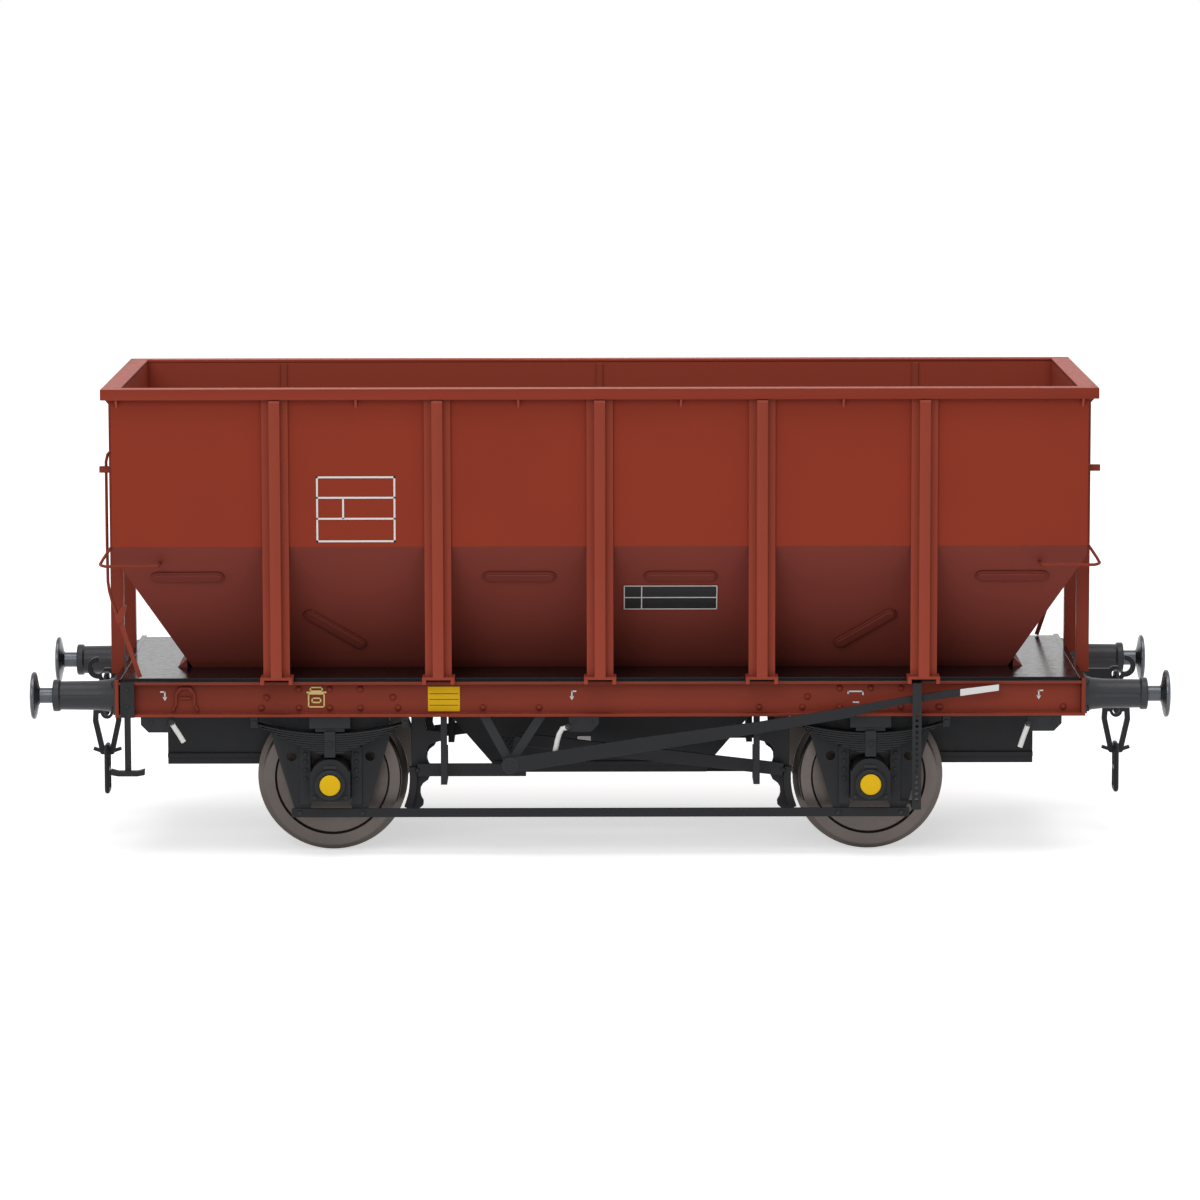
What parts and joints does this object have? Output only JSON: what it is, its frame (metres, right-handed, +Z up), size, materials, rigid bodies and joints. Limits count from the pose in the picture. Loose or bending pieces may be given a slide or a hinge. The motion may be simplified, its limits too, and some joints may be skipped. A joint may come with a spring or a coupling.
{
  "type": "model open hopper wagon",
  "caption": "Open hopper wagon model with a ribbed steep-sided body, bottom chutes, sprung buffers, hanging coupling chains and free-rolling wheels.",
  "frame": {"origin": "centre of the bounding box's base, where the wheel flanges stand, midway between the axles and the sides", "axes": "+X along the wagon, +Y across it, +Z up"},
  "size_m": [0.1778, 0.0572, 0.0738],
  "materials": {
    "body paint": "satin",
    "underframe paint": "satin",
    "wheel metal": "satin",
    "handle paint": "satin"
  },
  "bodies": {
    "wagon": {"side_sheet_front": "body paint", "side_sheet_back": "body paint", "side_slope_front": "body paint", "side_slope_back": "body paint", "end_sheet_left": "body paint", "end_sheet_right": "body paint", "end_slope_left": "body paint", "end_slope_right": "body paint", "saddles": "body paint", "top_rim": "body paint", "side_ribs_front": "body paint", "side_ribs_back": "body paint", "end_posts": "body paint", "end_stays": "body paint", "handrails": "body paint", "hopper_skirt": "body paint", "deck_sides": "underframe paint", "deck_ends": "underframe paint", "deck_bridges": "underframe paint", "chute_left": "underframe paint", "chute_middle": "underframe paint", "chute_right": "underframe paint", "chute_doors": "underframe paint", "solebar_front": "body paint", "solebar_back": "body paint", "headstocks": "body paint", "cross_bearers": "underframe paint", "axleguards": "underframe paint", "axleboxes": "underframe paint", "leaf_springs": "underframe paint", "tie_bars": "underframe paint", "buffer_housings": "underframe paint", "drawhooks": "underframe paint", "v_hangers": "underframe paint", "brake_levers": "underframe paint", "lever_guides": "underframe paint", "push_rods": "underframe paint", "brake_shoes": "underframe paint", "safety_straps": "underframe paint", "door_brackets": "underframe paint", "door_levers": "handle paint", "corner_steps": "underframe paint"},
    "wheelset_left": {"wheelset_left": "wheel metal"},
    "wheelset_right": {"wheelset_right": "wheel metal"},
    "buffer_left_front": {"buffer_left_front": "underframe paint"},
    "buffer_left_back": {"buffer_left_back": "underframe paint"},
    "shackle_left": {"shackle_left": "underframe paint"},
    "screw_link_left": {"screw_link_left": "underframe paint"},
    "end_link_left": {"end_link_left": "underframe paint"},
    "buffer_right_front": {"buffer_right_front": "underframe paint"},
    "buffer_right_back": {"buffer_right_back": "underframe paint"},
    "shackle_right": {"shackle_right": "underframe paint"},
    "screw_link_right": {"screw_link_right": "underframe paint"},
    "end_link_right": {"end_link_right": "underframe paint"}
  },
  "joints": [
    {"name": "wheelset_left_spin", "type": "hinge", "parent": "wagon", "child": "wheelset_left", "pos_m": [-0.042, 0, 0.0118], "axis": [0, 1, 0], "continuous": true},
    {"name": "wheelset_right_spin", "type": "hinge", "parent": "wagon", "child": "wheelset_right", "pos_m": [0.042, 0, 0.0118], "axis": [0, 1, 0], "continuous": true},
    {"name": "buffer_left_front_slide", "type": "slide", "parent": "wagon", "child": "buffer_left_front", "axis": [1, 0, 0], "range_m": [0, 0.002], "stiffness_N_per_m": 400, "springref_m": -0.0005},
    {"name": "buffer_left_back_slide", "type": "slide", "parent": "wagon", "child": "buffer_left_back", "axis": [1, 0, 0], "range_m": [0, 0.002], "stiffness_N_per_m": 400, "springref_m": -0.0005},
    {"name": "buffer_right_front_slide", "type": "slide", "parent": "wagon", "child": "buffer_right_front", "axis": [-1, 0, 0], "range_m": [0, 0.002], "stiffness_N_per_m": 400, "springref_m": -0.0005},
    {"name": "buffer_right_back_slide", "type": "slide", "parent": "wagon", "child": "buffer_right_back", "axis": [-1, 0, 0], "range_m": [0, 0.002], "stiffness_N_per_m": 400, "springref_m": -0.0005},
    {"name": "shackle_left_swing", "type": "hinge", "parent": "wagon", "child": "shackle_left", "pos_m": [-0.0788, 0, 0.0255], "axis": [0, 1, 0], "range_deg": [-10, 50]},
    {"name": "screw_link_left_swing", "type": "hinge", "parent": "shackle_left", "child": "screw_link_left", "pos_m": [-0.0788, 0, 0.0195], "axis": [0, 1, 0], "range_deg": [-15, 40]},
    {"name": "end_link_left_swing", "type": "hinge", "parent": "screw_link_left", "child": "end_link_left", "pos_m": [-0.0788, 0, 0.0141], "axis": [0, 1, 0], "range_deg": [-20, 40]},
    {"name": "shackle_right_swing", "type": "hinge", "parent": "wagon", "child": "shackle_right", "pos_m": [0.0824, 0, 0.0255], "axis": [0, -1, 0], "range_deg": [-10, 50]},
    {"name": "screw_link_right_swing", "type": "hinge", "parent": "shackle_right", "child": "screw_link_right", "pos_m": [0.0824, 0, 0.0195], "axis": [0, -1, 0], "range_deg": [-15, 40]},
    {"name": "end_link_right_swing", "type": "hinge", "parent": "screw_link_right", "child": "end_link_right", "pos_m": [0.0824, 0, 0.0141], "axis": [0, -1, 0], "range_deg": [-20, 40]}
  ]
}
